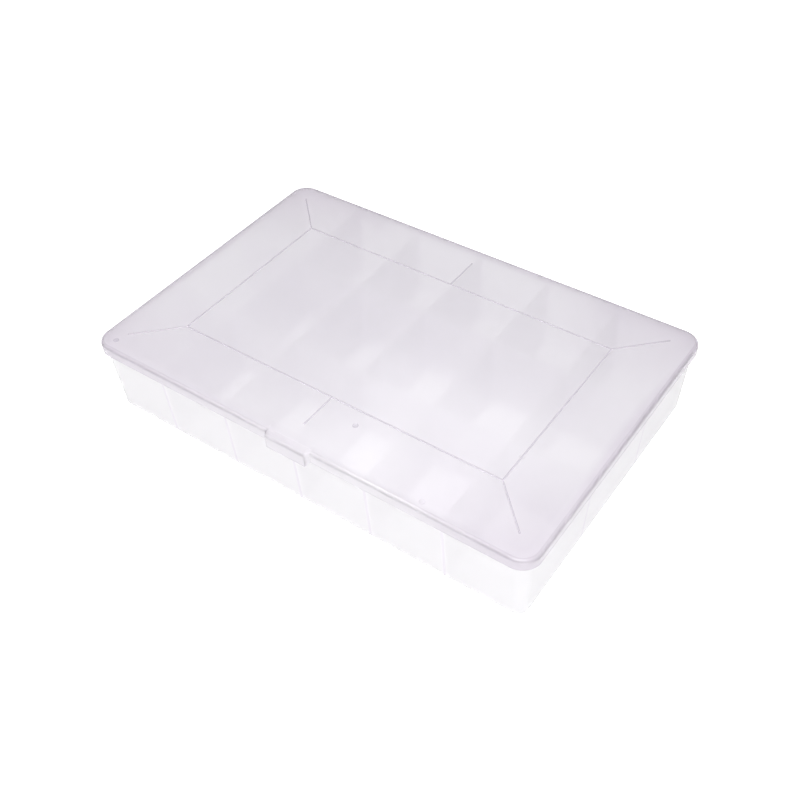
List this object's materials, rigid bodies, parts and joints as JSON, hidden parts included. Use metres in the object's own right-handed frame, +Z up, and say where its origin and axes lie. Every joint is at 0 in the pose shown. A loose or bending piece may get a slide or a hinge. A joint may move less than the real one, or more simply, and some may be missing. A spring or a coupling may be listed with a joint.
{
  "type": "parts sorting tray",
  "caption": "Shallow frosted translucent plastic tray with a grid of fixed compartments, closed by a ribbed lid on rear clip hinges with a front thumb tab.",
  "frame": {"origin": "centre of the flat underside, on the surface that the tray stands on; centred on the box, without the thumb tab and the hinges", "axes": "+X along the long front side to the right, +Y from the thumb tab to the hinges, +Z up"},
  "size_m": [0.275, 0.1903, 0.0485],
  "materials": {
    "tray_polypropylene": "frosted, translucent, natural",
    "divider_polypropylene": "frosted, translucent, natural",
    "lid_polypropylene": "frosted, translucent, slightly glossy shoulder"
  },
  "bodies": {
    "tray": {"tray_floor": "tray_polypropylene", "tray_walls": "tray_polypropylene", "front_long_divider": "divider_polypropylene", "rear_long_divider": "divider_polypropylene", "front_cross_divider_1": "divider_polypropylene", "front_cross_divider_2": "divider_polypropylene", "front_cross_divider_3": "divider_polypropylene", "front_cross_divider_4": "divider_polypropylene", "front_cross_divider_5": "divider_polypropylene", "middle_cross_divider_1": "divider_polypropylene", "middle_cross_divider_2": "divider_polypropylene", "middle_cross_divider_3": "divider_polypropylene", "middle_cross_divider_4": "divider_polypropylene", "middle_cross_divider_5": "divider_polypropylene", "rear_cross_divider_1": "divider_polypropylene", "rear_cross_divider_2": "divider_polypropylene", "rear_cross_divider_3": "divider_polypropylene", "rear_cross_divider_4": "divider_polypropylene", "rear_cross_divider_5": "divider_polypropylene", "front_catch": "tray_polypropylene", "left_hinge_ears": "tray_polypropylene", "right_hinge_ears": "tray_polypropylene", "left_hinge_pin": "tray_polypropylene", "right_hinge_pin": "tray_polypropylene"},
    "lid": {"lid_panel": "lid_polypropylene", "lid_shoulder": "lid_polypropylene", "lid_skirt": "lid_polypropylene", "thumb_tab": "lid_polypropylene", "lid_border_ribs": "lid_polypropylene", "lid_corner_ribs": "lid_polypropylene", "lid_mid_ribs": "lid_polypropylene", "left_hinge_clip": "lid_polypropylene", "right_hinge_clip": "lid_polypropylene"}
  },
  "joints": [
    {"name": "lid_hinge", "type": "hinge", "parent": "tray", "child": "lid", "pos_m": [0, 0.0941, 0.0386], "axis": [-1, 0, 0], "range_deg": [0, 180]}
  ]
}
